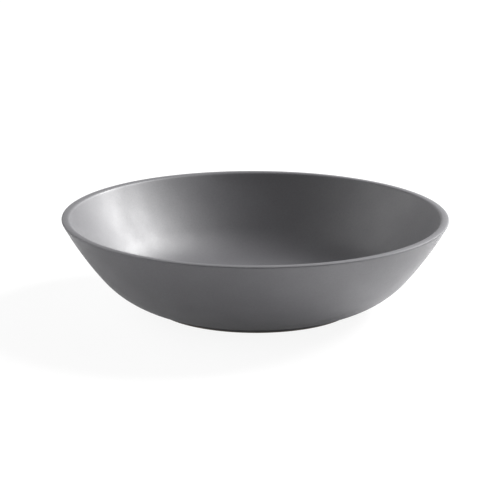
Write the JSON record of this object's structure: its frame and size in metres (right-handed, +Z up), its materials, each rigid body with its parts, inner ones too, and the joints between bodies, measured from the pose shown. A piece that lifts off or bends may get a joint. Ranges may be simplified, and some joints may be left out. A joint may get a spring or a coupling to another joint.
{
  "type": "shallow bowl",
  "caption": "Round shallow glazed stoneware bowl with a flared wall, a softly domed rim and an unglazed foot ring, for serving or holding food and small items.",
  "frame": {"origin": "centre of the resting face under the foot ring", "axes": "+Z up along the bowl's axis of revolution, from the foot to the rim; X and Y are any two level directions, because the bowl is round"},
  "size_m": [0.22, 0.22, 0.0525],
  "materials": {
    "bare_stoneware": "unglazed fired clay, fine sandy texture",
    "liner_glaze": "satin matt dark grey glaze",
    "outer_glaze": "satin matt dark grey glaze"
  },
  "bodies": {
    "root": {"stoneware_body": "bare_stoneware", "liner_glaze": "liner_glaze", "outer_glaze": "outer_glaze", "foot_well_glaze": "outer_glaze"}
  },
  "joints": []
}
